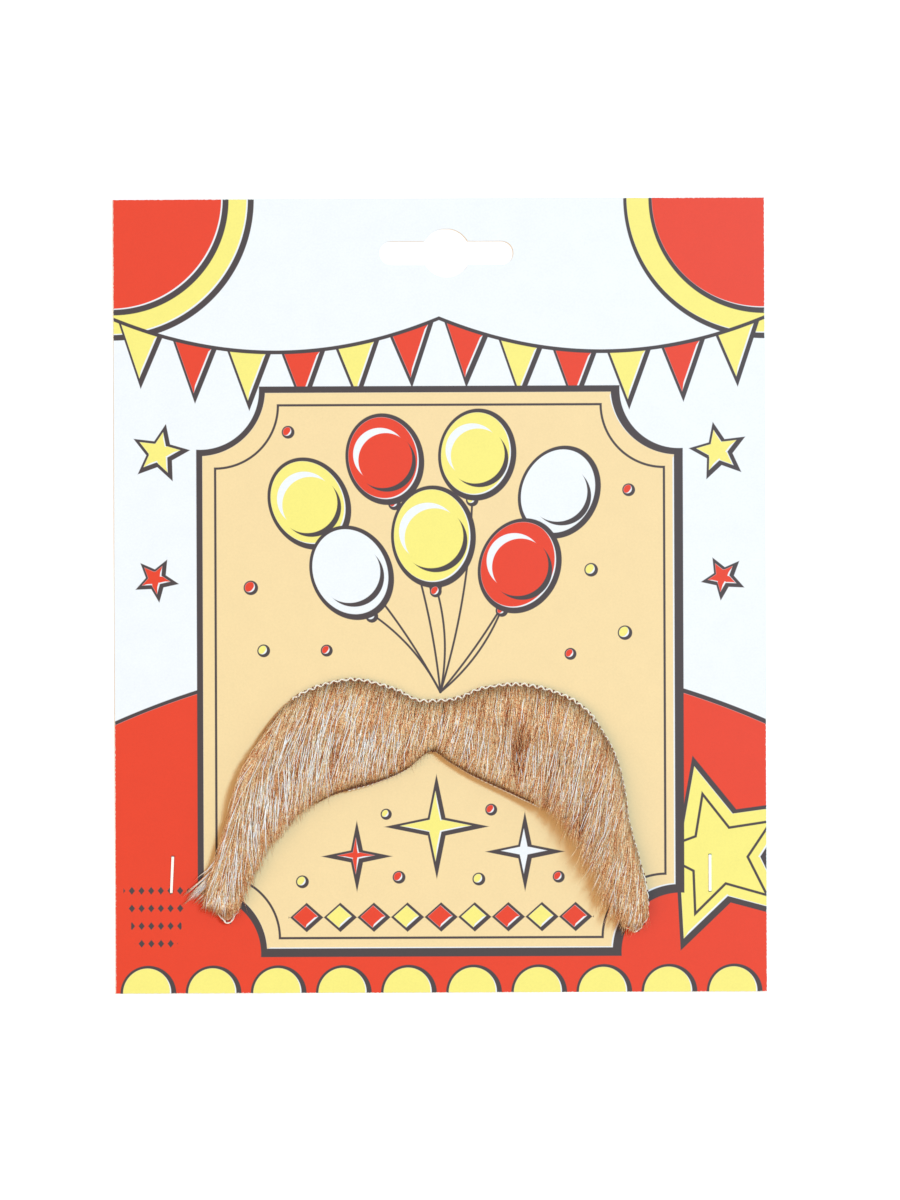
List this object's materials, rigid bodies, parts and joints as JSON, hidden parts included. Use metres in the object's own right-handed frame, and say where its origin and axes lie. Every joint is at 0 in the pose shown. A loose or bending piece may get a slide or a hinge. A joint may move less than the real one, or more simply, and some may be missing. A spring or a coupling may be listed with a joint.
{
  "type": "fake moustache on a backing card",
  "caption": "Self-adhesive false moustache of long sandy hair on a shaped net, with drooping wings, held on a flat hang card with wire staples.",
  "frame": {"origin": "middle of the card's back face, which the card lies on", "axes": "+X to the right of the printed face, +Y up the card towards the hang slot, +Z out of the printed face"},
  "size_m": [0.155, 0.189, 0.01],
  "materials": {
    "board": "printed, satin",
    "staple_steel": "bright",
    "netting": "matt woven net",
    "hair": "soft sheen"
  },
  "bodies": {
    "root": {"card": "board", "staple_left": "staple_steel", "staple_right": "staple_steel", "net_backing": "netting", "hair": "hair"}
  },
  "joints": []
}
